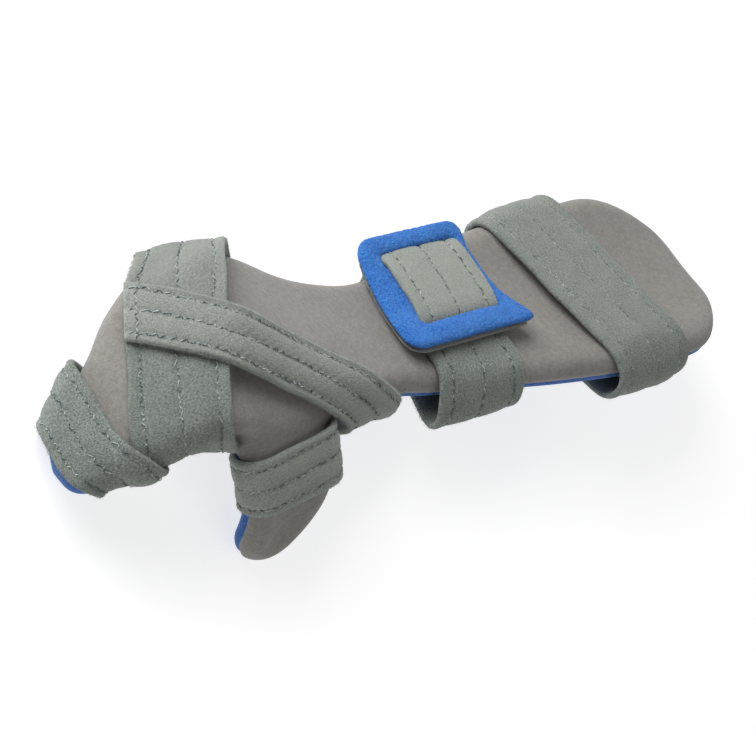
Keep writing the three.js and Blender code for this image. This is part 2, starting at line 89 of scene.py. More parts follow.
# Cross-sections: the middle's x, y and z, the half-widths to the far and near edges, and how far
# those edges turn down.
BODY_ROWS = [
    (203, -4, 0, 46, 44, -7, -7),
    (165, -4, 0, 45.5, 46, -7, -6),
    (130, -4, 0, 44.5, 46, -6, -5),
    (90, -3, 0, 41.5, 42.5, -5, -4),
    (50, -2, 0, 36, 36.5, -2, -2),
    (20, -2.5, 0, 30.7, 30.7, 0, 0),
    (0, -1.3, 0, 27.9, 27.9, 0, 0),
    (-25, 0, 4, 29.2, 29.2, 0, 1),
    (-50, 0, 11, 34.2, 34.4, 0, 5),
    (-75, 2, 19, 40.2, 40, 0, 10),
    (-95, 2, 24.5, 39.3, 40.5, 0, 14),
    (-112, 0, 26, 38, 37.5, 0, 14),
    (-127, -3.4, 22, 33.5, 32.3, 1, 10),
    (-140, -7.8, 14, 27.5, 22.4, 2, 5),
    (-152, -11.5, 2, 22, 16.4, 2, 2),
    (-168.2, -15, -20, 15.5, 12.8, 2, 2),
]
BODY_CORNERS = {"first": (46, 34), "last": (20, 9)}  # radii at the far and near edges
THUMB_ROWS = [
    (-80, -20, 14, 32, 20, 0, 0),
    (-79.5, -38, 2, 24.2, 22, -1, -1),
    (-78, -48, -15, 18.5, 23, -3, -3),
    (-81, -54, -32, 14.5, 16.5, -3, -3),
    (-88, -57, -44.5, 9, 9, -2, -2),
]
THUMB_CORNERS = {"first": (1, 1), "last": (9, 9)}


def in_frame(points):
    """Points of the splint's own frame, in mm, as points of the part's frame, in metres."""
    return (points @ REST.T + WRIST) / 1000


def laid(points):
    """The same, with the points that would dip into the floor lifted clear of it."""
    placed = in_frame(points)
    placed[:, 2] = np.maximum(placed[:, 2], FLOOR_CLEARANCE / 1000)
    return placed


def unit(vectors):
    return vectors / np.linalg.norm(vectors, axis=-1, keepdims=True)


def smoothstep(value, low, high):
    share = np.clip((value - low) / (high - low), 0, 1)
    return share * share * (3 - 2 * share)


def smooth_table(rows):
    """Rows of a table as smooth functions of the length along their middles, and that length."""
    rows = np.array(rows, float)
    steps = np.linalg.norm(np.diff(rows[:, :3], axis=0), axis=1)
    along = np.concatenate([[0], np.cumsum(steps)])
    slopes = np.diff(rows, axis=0) / steps[:, None]
    slopes = np.vstack([slopes[:1], (slopes[1:] + slopes[:-1]) / 2, slopes[-1:]])

    def at(s):
        s = np.clip(s, 0, along[-1])
        i = np.clip(np.searchsorted(along, s) - 1, 0, len(steps) - 1)
        step = steps[i][:, None]
        t = (s - along[i])[:, None] / step
        start = (2 * t**3 - 3 * t**2 + 1) * rows[i] + (t**3 - 2 * t**2 + t) * step * slopes[i]
        end = (3 * t**2 - 2 * t**3) * rows[i + 1] + (t**3 - t**2) * step * slopes[i + 1]
        return start + end

    return at, along[-1]


def cornered(half_width, radius, distance):
    """The half-width that a rounded corner leaves at a distance from the board's end."""
    short = np.clip(radius - distance, 0, radius)
    return half_width - radius + np.sqrt(radius**2 - short**2)


def board_rings(rows, corners, sideways, thickness, seam_lift=0):
    """Rings round a padded board with a half-round rim, and each point's height over the seam."""
    at, length = smooth_table(rows)
    rim = thickness / 2
    rounding = np.linspace(0, 1, END_RINGS) ** 2 * END_ROUNDING * rim
    middle = np.arange(rounding[-1] + RING_STEP, length - rounding[-1] - LAST_STEP, RING_STEP)
    s = np.concatenate([rounding, middle, length - rounding[::-1]])
    x, y, z, far, near, far_drop, near_drop = at(s).T[:, :, None]
    along = unit(at(s + 0.5)[:, :3] - at(s - 0.5)[:, :3])
    across = unit(sideways - along * (along @ sideways)[:, None])
    normal = np.cross(across, along)

    first, last = s[:, None], (length - s)[:, None]
    half = np.maximum(cornered(rim, rim, np.minimum(first, last)), END_EDGE * rim)
    reaches = []
    for side, width in enumerate((far, near)):
        from_first = cornered(width, corners["first"][side], first)
        from_last = cornered(width, corners["last"][side], last)
        reaches.append(np.maximum(np.minimum(from_first, from_last), LEAST_REACH))
    far_reach, near_reach = reaches

    flat = np.linspace(0, 1, FLAT_POINTS + 2)[1:-1]
    turn = np.linspace(-math.pi / 2, math.pi / 2, RIM_POINTS)
    under, over = (np.full(FLAT_POINTS, end) for end in turn[[0, -1]])
    share = np.concatenate([flat, np.ones(RIM_POINTS), flat[::-1], np.zeros(RIM_POINTS)])
    angle = np.concatenate([under, turn, over, turn[::-1]])
    inset = np.minimum(rim, np.minimum(far_reach, near_reach)) * (np.cos(angle) - 1)
    v = (share - 1) * (near_reach + inset) + share * (far_reach + inset)
    height = half * np.sin(angle)
    drop, reach = np.where(v > 0, far_drop, near_drop), np.where(v > 0, far, near)
    slope = -2 * drop * v / reach**2
    lean = np.hypot(1, slope)
    sideway = v - slope / lean * height
    upward = -drop * (v / reach) ** 2 + height / lean
    centre = np.stack([x, y, z], axis=-1)
    rings = centre + sideway[..., None] * across[:, None] + upward[..., None] * normal[:, None]
    seam = SEAM_LEVEL + seam_lift * (1 - smoothstep(last, *TIP_SEAM_REACH))
    return rings, (np.sin(angle) - seam) * half


def grid_faces(rows, columns, close_rows=False):
    """Quads over a grid of points, closed round its columns and, if asked, round its rows."""
    i = np.arange(rows if close_rows else rows - 1)
    i, k = (a.ravel() for a in np.meshgrid(i, np.arange(columns), indexing="ij"))
    i2, k2 = (i + 1) % rows, (k + 1) % columns
    return np.stack([i, i, i2, i2], 1) * columns + np.stack([k, k2, k2, k], 1)


def split(quads):
    return np.vstack([quads[:, [0, 1, 2]], quads[:, [0, 2, 3]]])


def lofted(rings):
    """The points and triangles of a closed skin over open rings, with a fan at each end."""
    count, size = rings.shape[:2]
    points = np.vstack([rings.reshape(-1, 3), rings[0].mean(0), rings[-1].mean(0)])
    k = np.arange(size)
    k2 = (k + 1) % size
    base = (count - 1) * size
    caps = [
        np.stack([k2, k, np.full(size, count * size)], 1),
        np.stack([base + k, base + k2, np.full(size, count * size + 1)], 1),
    ]
    return points, np.vstack([split(grid_faces(count, size)), *caps])


def volume(points, triangles):
    a, b, c = (points[triangles[:, i]] for i in range(3))
    return (a * np.cross(b, c)).sum() / 6


def facing_out(points, triangles):
    return triangles[:, ::-1] if volume(points, triangles) < 0 else triangles


def new_piece(name, points, faces, smooth_below=60):
    """A mesh object from points of the part's frame, in metres, shaded smooth below an angle."""
    mesh = bpy.data.meshes.new(name)
    mesh.from_pydata(points, [], faces)
    mesh.validate()
    mesh.shade_smooth()
    mesh.set_sharp_from_angle(angle=math.radians(smooth_below))
    piece = bpy.data.objects.new(name, mesh)
    bpy.context.scene.collection.objects.link(piece)
    return piece


def vertices_of(mesh):
    found = np.empty(3 * len(mesh.vertices))
    mesh.vertices.foreach_get("co", found)
    return found.reshape(-1, 3)


def fused(skins, voxel):
    """Overlapping closed skins, in mm, melted into one fine skin of points and triangles."""
    points = np.vstack([skin[0] for skin in skins]) / 1000
    starts = np.cumsum([0] + [len(skin[0]) for skin in skins])
    triangles = np.vstack([skin[1] + start for skin, start in zip(skins, starts)])
    rough = new_piece("rough", points, triangles)
    remesh = rough.modifiers.new("melt", "REMESH")
    remesh.mode = "VOXEL"
    remesh.voxel_size = voxel / 1000
    mesh = rough.evaluated_get(bpy.context.evaluated_depsgraph_get()).to_mesh()
    mesh.calc_loop_triangles()
    found = vertices_of(mesh) * 1000
    corners = np.empty(len(mesh.loop_triangles) * 3, np.int32)
    mesh.loop_triangles.foreach_get("vertices", corners)
    bpy.data.objects.remove(rough)
    return found, corners.reshape(-1, 3)


def sides_of(triangles):
    return np.vstack([triangles[:, [0, 1]], triangles[:, [1, 2]], triangles[:, [2, 0]]])


def edges_of(triangles):
    return np.unique(np.sort(sides_of(triangles)), axis=0)


def relaxed(values, edges, passes, weight=0.5):
    """Values at points, each moved towards the mean of its neighbours, pass after pass."""
    ends, others = np.concatenate([edges, edges[:, ::-1]]).T
    count = np.bincount(ends, minlength=len(values))
    for _ in range(passes):
        columns = [np.bincount(ends, column[others], len(values)) for column in values.T]
        mean = np.stack(columns, 1) / count[:, None]
        values = values + np.reshape(weight, (-1, 1)) * (mean - values)
    return values


def normals_of(points, triangles):
    a, b, c = (points[triangles[:, i]] for i in range(3))
    facing = np.cross(b - a, c - a)
    summed = np.zeros_like(points)
    for i in range(3):
        for axis in range(3):
            summed[:, axis] += np.bincount(triangles[:, i], facing[:, axis], len(points))
    return unit(summed)


def nearest_in(cloud, points):
    """For each point, the index of the nearest one in a cloud, and its distance."""
    tree = KDTree(len(cloud))
    for i, p in enumerate(cloud):
        tree.insert(p, i)
    tree.balance()
    found = [tree.find(p) for p in points]
    return np.array([f[1] for f in found]), np.array([f[2] for f in found])


def snapped(points, field, edges):
    """Moves the points beside a field's zero line onto it, so that faces can part along it."""
    a, b = edges.T
    crossing = field[a] * field[b] < 0
    a, b = a[crossing], b[crossing]
    share = field[a] / (field[a] - field[b])
    place = points[a] + share[:, None] * (points[b] - points[a])
    nearest = np.where(share < 0.5, a, b)
    order = np.argsort(-np.abs(share - 0.5), kind="stable")[::-1]
    points, field = points.copy(), field.copy()
    points[nearest[order]] = place[order]
    field[nearest] = 0
    return points, field


def thickened(points, triangles, normals, thickness):
    """A skin with an inner side and closed edges."""
    used, triangles = np.unique(triangles, return_inverse=True)
    triangles = triangles.reshape(-1, 3)
    points, normals = points[used], normals[used]
    size = len(points)
    directed = sides_of(triangles)
    codes, back = directed @ [size, 1], directed @ [1, size]
    a, b = directed[~np.isin(codes, back)].T
    walls = np.vstack([np.stack([b, a, a + size], 1), np.stack([b, a + size, b + size], 1)])
    faces = np.vstack([triangles, triangles[:, ::-1] + size, walls])
    return np.vstack([points, points - thickness * normals]), faces


body_rings, body_heights = board_rings(
    BODY_ROWS, BODY_CORNERS, LITTLE_SIDE, BOARD_THICKNESS, TIP_SEAM_LIFT
)
thumb_rings, thumb_heights = board_rings(THUMB_ROWS, THUMB_CORNERS, FINGERWARD, THUMB_THICKNESS)
body_cloud, thumb_cloud = body_rings.reshape(-1, 3), thumb_rings.reshape(-1, 3)

body_points, body_faces = fused([lofted(body_rings), lofted(thumb_rings)], BODY_VOXEL)
body_edges = edges_of(body_faces)
body_index, body_off = nearest_in(body_cloud, body_points)
thumb_index, thumb_off = nearest_in(thumb_cloud, body_points)
on_thumb = thumb_off < body_off
over_seam = np.where(on_thumb, thumb_heights.ravel()[thumb_index], body_heights.ravel()[body_index])

# The fold between thumb and palm is padded out to a soft hollow.
BODY_PASSES = 8
FOLD_PASSES = 70
SEAM_PASSES = 12
fold = 1 - smoothstep(np.maximum(body_off, thumb_off), *FOLD_REACH)
body_points = relaxed(body_points, body_edges, BODY_PASSES)
body_points = relaxed(body_points, body_edges, FOLD_PASSES, 0.5 * fold)
over_seam = over_seam + FOLD_SEAM_DROP * fold
over_seam = relaxed(over_seam[:, None], body_edges, SEAM_PASSES)[:, 0]

# The two cloths part along the seam, which is drawn in by its thread.
SEAM_DEPTH = 0.8
SEAM_SPREAD = 1.3
body_points, over_seam = snapped(body_points, over_seam, body_edges)
body_normals = normals_of(body_points, body_faces)
body_points -= SEAM_DEPTH * np.exp(-((over_seam / SEAM_SPREAD) ** 2))[:, None] * body_normals


class Shade:
    """A socket of a material's nodes. Sums and products of sockets add Math nodes."""

    def __init__(self, tree, socket=None):
        self.tree = tree
        self.socket = socket

    def node(self, kind, settings=(), inputs=(), output=0):
        made = self.tree.nodes.new(kind)
        for name, value in dict(settings).items():
            setattr(made, name, value)
        for name, value in dict(inputs).items():
            if isinstance(value, Shade):
                self.tree.links.new(value.socket, made.inputs[name])
            else:
                made.inputs[name].default_value = value
        return Shade(self.tree, made.outputs[output])

    def math(self, operation, *values):
        return self.node("ShaderNodeMath", {"operation": operation}, dict(enumerate(values)))

    def __add__(self, other):
        return self.math("ADD", self, other)

    def __sub__(self, other):
        return self.math("SUBTRACT", self, other)

    def __rsub__(self, other):
        return self.math("SUBTRACT", other, self)

    def __mul__(self, other):
        return self.math("MULTIPLY", self, other)

    __radd__ = __add__
    __rmul__ = __mul__

    def between(self, low, high):
        """This value with low to high spread over 0 to 1."""
        settings = {"clamp": True, "interpolation_type": "SMOOTHSTEP"}
        inputs = {"Value": self, "From Min": low, "From Max": high}
        return self.node("ShaderNodeMapRange", settings, inputs)

    def mix(self, first, second):
        """A colour between two, by this value."""
        inputs = {"Factor": self, 6: first, 7: second}
        return self.node("ShaderNodeMix", {"data_type": "RGBA"}, inputs, 2)

    def stretched(self, by):
        inputs = {0: self, 1: by}
        return self.node("ShaderNodeVectorMath", {"operation": "MULTIPLY"}, inputs)

    def combined(self, x, y, z=0):
        return self.node("ShaderNodeCombineXYZ", (), {0: x, 1: y, 2: z})

    def noise(self, scale, detail=2, roughness=0.5):
        inputs = {"Vector": self, "Scale": scale, "Detail": detail, "Roughness": roughness}
        return self.node("ShaderNodeTexNoise", (), inputs)

    def bump(self, distance, strength=1):
        inputs = {"Height": self, "Distance": distance, "Strength": strength}
        return self.node("ShaderNodeBump", (), inputs)

    def to(self, shader, name):
        self.tree.links.new(self.socket, shader.inputs[name])


def cloth(name, sheen, sheen_roughness):
    """A new matt cloth material, its shader and a Shade to start its nodes from."""
    made = bpy.data.materials.new(name)
    made.use_nodes = True
    shader = made.node_tree.nodes["Principled BSDF"]
    shader.inputs["Specular IOR Level"].default_value = 0.15
    shader.inputs["Sheen Weight"].default_value = sheen
    shader.inputs["Sheen Roughness"].default_value = sheen_roughness
    return made, shader, Shade(made.node_tree)


def placed_cloth(name, sheen, sheen_roughness):
    """The same, starting from where on the piece a point is."""
    made, shader, start = cloth(name, sheen, sheen_roughness)
    return made, shader, start.node("ShaderNodeTexCoord", (), (), "Object")


def rgb(red, green, blue):
    """A colour as it is seen, from 0 to 255, in the shader's linear values."""
    seen = np.array([red, green, blue]) / 255
    linear = np.where(seen < 0.04045, seen / 12.92, ((seen + 0.055) / 1.055) ** 2.4)
    return (*linear.tolist(), 1)


def grey_knit():
    made, shader, place = placed_cloth("grey_knit", 0.25, 0.5)
    grain = place.noise(1500, 3, 0.65)
    nap = place.noise(420, 2, 0.6)
    cloud = place.noise(60, 2, 0.5)
    tone = 0.55 * grain + 0.3 * nap + 0.15 * cloud
    colour = tone.between(0.3, 0.7).mix(rgb(122, 119, 114), rgb(150, 147, 142))
    colour.to(shader, "Base Color")
    (0.93 - 0.1 * nap).to(shader, "Roughness")
    height = 0.65 * grain + 0.35 * nap
    height.bump(0.0005, 0.7).to(shader, "Normal")
    return made


def blue_loop():
    made, shader, place = placed_cloth("blue_loop", 0.2, 0.5)
    loops = place.node("ShaderNodeTexVoronoi", (), {"Vector": place, "Scale": 900}, "Distance")
    fluff = place.noise(1300, 3, 0.6)
    tone = 0.6 * fluff + 0.4 * loops
    tone.between(0.25, 0.65).mix(rgb(38, 76, 146), rgb(66, 110, 180)).to(shader, "Base Color")
    (0.95 - 0.1 * fluff).to(shader, "Roughness")
    (0.6 * fluff - 0.5 * loops).bump(0.0006, 0.8).to(shader, "Normal")
    return made


def finish_padded(piece, finish, node):
    """Gives a padded piece its cloth, attaches it to the body and hides the part it stands for."""
    piece.data.materials.append(finish)
    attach(piece, "root")
    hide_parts(node)


def body_cover(name, chosen, finish, node):
    """One of the body's two cloths, over the chosen triangles."""
    points, faces = thickened(body_points, body_faces[chosen], body_normals, COVER_THICKNESS)
    finish_padded(new_piece(name, laid(points), faces, 70), finish, node)


GREY_KNIT = grey_knit()
upper = over_seam[body_faces].sum(1) > 0
body_cover("grey_face", upper, GREY_KNIT, "padded_face")
body_cover("blue_back", ~upper, blue_loop(), "padded_back")

# Forearm strap
# A broad band of plush-covered webbing, sewn with three rows of zigzag stitches and closed on
# itself round the forearm. It bridges the trough of the arm's bed.

STRAP_THICKNESS = 2.8
STRAP_GAP = 0.5
BROAD_STRAP = 46
LANES = 15
SHARES = np.linspace(-0.5, 0.5, LANES)  # of the strap's width, for each lane
LANE_REACH = 0.25  # of the strap's width, which lies taut over the high places beside a lane
LINE_STEP = 0.8
GAP_EASE, LINE_EASE, STIFF_EASE, LANE_EASE = 12, 8, 110, 3  # passes
HALF_STATIONS = 190
ROW_SHARES = (-0.355, 0, 0.355)  # of the strap's width
ROW_DEPTH = 0.55
ROW_SPREAD = 1.1
PILLOW, PILLOW_REACH = 0.25, 6
PUCKER, PUCKER_REACH = 0.08, 3.5
SLOW_WAVE, QUICK_WAVE = 0.08, 0.06
EDGE_WOBBLE, EDGE_WOBBLE_QUICK, EDGE_WOBBLE_LIMIT = 0.3, 0.2, 0.4
EDGE_CALM = 2.5  # from the edge, where the pile lies even
FACE_STEP = 0.85  # between points across the face
CUT_ROUND = 0.012  # of a cut strap's length, rounded off at each end
CUT_RINGS, CUT_END_RINGS = 260, 6
CUT_MARGIN = 1.5  # from a cut end to its first stitch
STITCH_STEP = 2.1
STITCH_SWING = 0.6
STITCH_ASTRAY = (0.22, 0.3)  # across and along
ROW_WANDER = 0.35
STITCH_DIVE = 0.3
STITCH_SINK = 0.35
STITCH_POINTS = 7
THREAD_RADIUS = 0.21
THREAD_SIDES = 6
EDGE_FIBRES = 5  # for each mm of an edge
FACE_FIBRES = 0.7  # for each square mm
FIBRE_REACH = 0.9
FIBRE_RADIUS = 0.07
FIBRE_ROOT = 0.35  # inside an edge
FIBRE_INSET = 0.3  # of the face's fibres, from an edge
FIBRE_SUNK = 0.15
FIBRE_STRAY = np.array([0.45, 0.25, 0.4])  # across the face, up an edge, and along the band
FIBRE_LIFT = 0.6  # of its reach, for the face's fibres
FIBRE_SHIFT = 50  # of its tone along the band
ASKEW = np.array([0.3, 0.1, 0.7])  # added to a direction to find one beside it


class BandFrame:
    """Where a band lies: x across the body to its far side, y up and z along its width."""

    def __init__(self, origin, across, along):
        z = unit(np.array(along, float))
        x = unit(across - z * (z @ across))
        self.axes = np.stack([x, np.cross(z, x), z])
        self.origin = np.array(origin, float)

    def inward(self, points):
        return (points - self.origin) @ self.axes.T

    def outward(self, points):
        return points @ self.axes + self.origin


def body_frame(x, y, z, skew, pitch):
    """A frame across the body: skew swings its near end up the arm, pitch tips its finger edge."""
    swing = Matrix.Rotation(math.radians(skew), 3, "Z")
    turn = np.array(swing @ Matrix.Rotation(math.radians(-pitch), 3, "Y"))
    return BandFrame((x, y, z), turn @ LITTLE_SIDE, turn @ -FINGERWARD)


def taut_line(points):
    """The taut line round a cloud of flat points, counter-clockwise."""
    points = points[np.lexsort((points[:, 1], points[:, 0]))]

    def chain(points):
        kept = []
        for p in points.tolist():
            while len(kept) > 1:
                (ax, ay), (bx, by) = kept[-2:]
                if (bx - ax) * (p[1] - ay) - (by - ay) * (p[0] - ax) > 1e-9:
                    break
                kept.pop()
            kept.append(p)
        return kept[:-1]

    return np.array(chain(points) + chain(points[::-1]))


def walked(line, count, closed=True):
    """A line again, as a number of points at even distances, and its length."""
    line = np.vstack([line, line[:1]]) if closed else line
    along = np.concatenate([[0], np.cumsum(np.linalg.norm(np.diff(line, axis=0), axis=1))])
    at = np.linspace(0, along[-1], count + 1 if closed else count)[:count]
    return np.stack([np.interp(at, along, column) for column in line.T], 1), along[-1]


def evenly(line, step):
    length = np.linalg.norm(np.diff(np.vstack([line, line[:1]]), axis=0), axis=1).sum()
    return walked(line, int(length / step))[0]


def eased(line, passes):
    for _ in range(passes):
        line = (2 * line + np.roll(line, 1, 0) + np.roll(line, -1, 0)) / 4
    return line


def outward_of(line):
    step = np.roll(line, -1, 0) - np.roll(line, 1, 0)
    return unit(np.stack([step[:, 1], -step[:, 0]], 1))


class Band:
    """A band pulled round a cloud of points: lines along its lanes, side by side.

    Each slack is a direction, how far the band stands off there at its two edges, and its spread.
    Thread changes a lane's line, drift moves the lanes sideways, and above the two heights of stiff
    the band only bends softly.
    """

    def __init__(
        self, cloud, place, width, gap=STRAP_GAP, slacks=(), thread=None, drift=None, stiff=None
    ):
        self.width = width
        local = place.inward(cloud)
        lanes = []
        for share in SHARES:
            low, high = max(share - LANE_REACH, -0.5), min(share + LANE_REACH, 0.5)
            beside = (local[:, 2] > low * width) & (local[:, 2] < high * width)
            line = evenly(taut_line(local[beside, :2]), LINE_STEP)
            line = eased(line + gap * outward_of(line), GAP_EASE)
            for x, y, amounts, spread in slacks:
                towards = unit(np.array([x, y]))
                amount = np.interp(share, (-0.5, 0.5), amounts)
                turn = line[(line @ towards).argmax()]
                facing = np.maximum(outward_of(line) @ towards, 0)
                fade = np.exp(-((np.linalg.norm(line - turn, axis=1) / spread) ** 2)) * facing
                line = line + (amount * fade)[:, None] * towards
            if thread:
                line = evenly(thread(line), LINE_STEP)
            line = eased(line, LINE_EASE)
            if stiff:
                bent = smoothstep(line[:, 1], *stiff)[:, None]
                line = line + bent * (eased(line, STIFF_EASE) - line)
            line = np.roll(line, -line[:, 0].argmin(), 0)
            far = line[:, 0].argmax()
            under = walked(line[: far + 1], HALF_STATIONS + 1, False)[0][:-1]
            over = walked(np.vstack([line[far:], line[:1]]), HALF_STATIONS + 1, False)[0][:-1]
            lanes.append(np.vstack([under, over]))
        lanes = np.array(lanes)
        for _ in range(LANE_EASE):
            padded = np.concatenate([lanes[:1], lanes, lanes[-1:]])
            lanes = (padded[:-2] + 2 * padded[1:-1] + padded[2:]) / 4
        lanes = np.roll(lanes, -HALF_STATIONS // 2, 1)
        levels = np.broadcast_to(SHARES[:, None, None] * width, lanes[..., :1].shape)
        if drift:
            levels = levels + drift(lanes)[..., None]
        self.skin = place.outward(np.concatenate([lanes, levels], -1))
        ahead = np.roll(self.skin, -1, 1) - np.roll(self.skin, 1, 1)
        self.normals = unit(np.cross(ahead, np.gradient(self.skin, axis=0)))
        self.lanes = lanes
        middle = self.skin[LANES // 2]
        steps = np.linalg.norm(np.roll(middle, -1, 0) - middle, axis=1)
        self.along = np.concatenate([[0], np.cumsum(steps)])
        self.stations = len(middle)
        self.length = self.along[-1]

    def at(self, across, station, height):
        """Points of the splint's frame: across and height in mm, station along the lanes."""
        lane = (across / self.width + 0.5) * (LANES - 1)
        i = np.clip(np.floor(lane), 0, LANES - 2).astype(int)
        lane_share = (lane - i)[..., None]
        k = np.floor(station).astype(int)
        step_share = (station - k)[..., None]
        k, k2 = k % self.stations, (k + 1) % self.stations

        def read(values):
            first = values[i, k] * (1 - step_share) + values[i, k2] * step_share
            second = values[i + 1, k] * (1 - step_share) + values[i + 1, k2] * step_share
            return first * (1 - lane_share) + second * lane_share

        return read(self.skin) + unit(read(self.normals)) * height[..., None]

    def station_at(self, distance):
        turns = np.floor(distance / self.length)
        found = np.interp(distance - turns * self.length, self.along, np.arange(self.stations + 1))
        return found + turns * self.stations

    def distance_at(self, station):
        turns = np.floor(station / self.stations)
        part = np.interp(station - turns * self.stations, np.arange(self.stations + 1), self.along)
        return part + turns * self.length


def plush_rise(across, along, width, seed):
    """How far the plush stands over the webbing: pillowed between its rows, sunk along them."""
    rows = np.array(ROW_SHARES) * width
    nearest = np.abs(across[..., None] - rows).min(-1)
    sunk = ROW_DEPTH * np.exp(-((nearest / ROW_SPREAD) ** 2))
    puckers = PUCKER * np.sin(math.pi * along / STITCH_STEP)
    puckers = puckers * np.exp(-((nearest / PUCKER_REACH) ** 2))
    waves = SLOW_WAVE * np.sin(along / 7.3 + seed) * np.sin(across / 6.1 + 2.1 * seed)
    waves = waves + QUICK_WAVE * np.sin(along / 3.1 + 1.7 * seed + across / 4.3)
    return PILLOW * smoothstep(nearest, 0, PILLOW_REACH) - sunk + puckers + waves


def band_section(width, thickness):
    """Across and height round a band's section, which faces are outer, from edge to edge."""
    round_off = thickness / 2
    turn = np.linspace(0, math.pi / 2, 7)
    flat = np.linspace(-1, 1, int(width / FACE_STEP)) * (width / 2 - round_off)
    edge = width / 2 - round_off + round_off * np.sin(turn[1:])
    across = np.concatenate([-edge[::-1], flat, edge])
    lift = np.concatenate([np.cos(turn[:0:-1]), np.ones(len(flat)), np.cos(turn[1:])]) * round_off
    inner = np.concatenate([edge[-2::-2], flat[::-6], -edge[1:-1:2]])
    sink = np.sqrt(np.maximum(0, round_off**2 - np.maximum(0, np.abs(inner) - flat[-1]) ** 2))
    outer = np.concatenate([np.ones(len(across)), np.zeros(len(inner))])
    height = np.concatenate([round_off + lift, round_off - sink])
    return np.concatenate([across, inner]), height, outer


def set_lay(mesh, lay):
    mesh.attributes.new("lay", "FLOAT_VECTOR", "POINT").data.foreach_set("vector", lay.ravel())


def band_piece(name, band, seed, starts=None, ends=None, painted_light=None):
    """A plush band as a closed mesh, with how its pile lies and where it is painted paler, as
    painted light, in the attribute "lay".

    Starts and ends give the stations of a cut band's two ends, and the last argument where its
    plush is painted paler, as painted light on the parts that catch the light.
    """
    across, height, outer = band_section(band.width, STRAP_THICKNESS)
    if starts is None:
        count = band.stations
        station = np.tile(np.arange(count)[:, None], (1, len(across))).astype(float)
        end_share = 1
    else:
        end = np.linspace(0, CUT_ROUND, CUT_END_RINGS)[:-1]
        between = np.linspace(CUT_ROUND, 1 - CUT_ROUND, CUT_RINGS)
        share = np.concatenate([end, between, 1 - end[::-1]])[:, None]
        lane = across / band.width
        from_station = np.interp(lane, SHARES, starts)
        to_station = np.interp(lane, SHARES, ends)
        station = from_station + share * (to_station - from_station)
        count = len(share)
        short = np.clip(1 - np.minimum(share, 1 - share) / CUT_ROUND, 0, 1)
        end_share = np.sqrt(1 - short**2)
    full = np.tile(across, (count, 1))
    along = band.distance_at(station)
    rise = plush_rise(full, along, band.width, seed) * outer
    rim = smoothstep(band.width / 2 - np.abs(full), 0, EDGE_CALM)
    middle = STRAP_THICKNESS / 2
    shape = middle + (height - middle) * end_share + rise * rim * end_share
    wobble = EDGE_WOBBLE * np.sin(along / 11 + seed)
    wobble = wobble + EDGE_WOBBLE_QUICK * np.sin(along / 4.7 + 2 * seed)
    full = full + wobble * (np.abs(full) / (band.width / 2)) ** 4
    limit = band.width / 2 + EDGE_WOBBLE_LIMIT
    full = np.clip(full, -limit, limit)
    rings = band.at(full, station, shape)
    if starts is None:
        points = rings.reshape(-1, 3)
        triangles = split(grid_faces(count, len(across), close_rows=True))
    else:
        points, triangles = lofted(rings)
    piece = new_piece(name, laid(points), facing_out(points, triangles), 80)
    lay = np.zeros((len(points), 3))
    size = along.size
    lay[:size, 0], lay[:size, 1] = along.ravel(), full.ravel()
    if painted_light:
        lay[:, 2] = painted_light(points)
    lay[size:] = lay[[0, size - 1]][: len(points) - size]
    set_lay(piece.data, lay)
    return piece


def spokes_round(ahead, sides):
    """Spokes of length one at even turns round each direction."""
    side = unit(np.cross(ahead, np.roll(ahead, 1, -1) + ASKEW))
    other = np.cross(ahead, side)
    turn = np.arange(sides)[:, None] * 2 * math.pi / sides
    return np.cos(turn) * side[..., None, :] + np.sin(turn) * other[..., None, :]


def tubes(paths, radii, sides):
    """Closed tubes along many paths of equal point counts, as points and triangles."""
    count, size = paths.shape[:2]
    spokes = spokes_round(unit(np.gradient(paths, axis=1)), sides)
    rings = paths[:, :, None] + spokes * np.reshape(radii, (1, size, 1, 1))
    cap = np.array([[0, i, i + 1] for i in range(1, sides - 1)])
    one = np.vstack([split(grid_faces(size, sides)), cap, cap[:, ::-1] + (size - 1) * sides])
    faces = one[None] + (np.arange(count) * size * sides)[:, None, None]
    return rings.reshape(-1, 3), faces.reshape(-1, 3)


def row_holes(band, seed, first, last):
    """Needle holes, across and along the band, of its three zigzag rows."""
    runs = []
    draw = np.random.default_rng(int(10 * seed))
    for row in np.array(ROW_SHARES) * band.width:
        start, end = first(row), last(row)
        count = int((end - start) / STITCH_STEP)
        along = start + (np.arange(count + 1) + 0.5) * (end - start) / (count + 1)
        swing = STITCH_SWING * np.where(np.arange(count + 1) % 2, 1, -1)
        across = row + swing + ROW_WANDER * np.sin(along / 9 + seed + row)
        astray = np.clip(draw.normal(size=(count + 1, 2)), -2, 2) * STITCH_ASTRAY
        runs.append(np.stack([across, along], 1) + astray)
    return runs


def stitches(name, band, seed, runs, stand):
    """Each stitch is a thread from one needle hole to the next that dives in at both."""
    draw = np.random.default_rng(int(100 * seed))
    share = np.linspace(0, 1, STITCH_POINTS)[:, None]
    arch = np.sin(math.pi * share[:, 0])
    paths = []
    for run in runs:
        threads = run[:-1, None] + share * np.diff(run, axis=0)[:, None]
        across, along = threads.transpose(2, 0, 1)
        rise = plush_rise(across, along, band.width, seed)
        height = STRAP_THICKNESS + rise + stand * arch - STITCH_DIVE * (1 - arch) ** 3
        height = height - STITCH_SINK * draw.random((len(height), 1)) ** 2
        paths.append(band.at(across, band.station_at(along), height))
    radii = THREAD_RADIUS * (0.75 + 0.25 * arch)
    points, faces = tubes(np.concatenate(paths), radii, THREAD_SIDES)
    size = STITCH_POINTS * THREAD_SIDES
    if volume(points[:size], faces[faces.max(1) < size]) < 0:
        faces = faces[:, ::-1]
    return new_piece(name, laid(points), faces, 180)


def needle_faces(count):
    one = np.array([(0, 2, 1), (0, 1, 3), (1, 2, 3), (2, 0, 3)])
    return (one + 4 * np.arange(count)[:, None, None]).reshape(-1, 3)


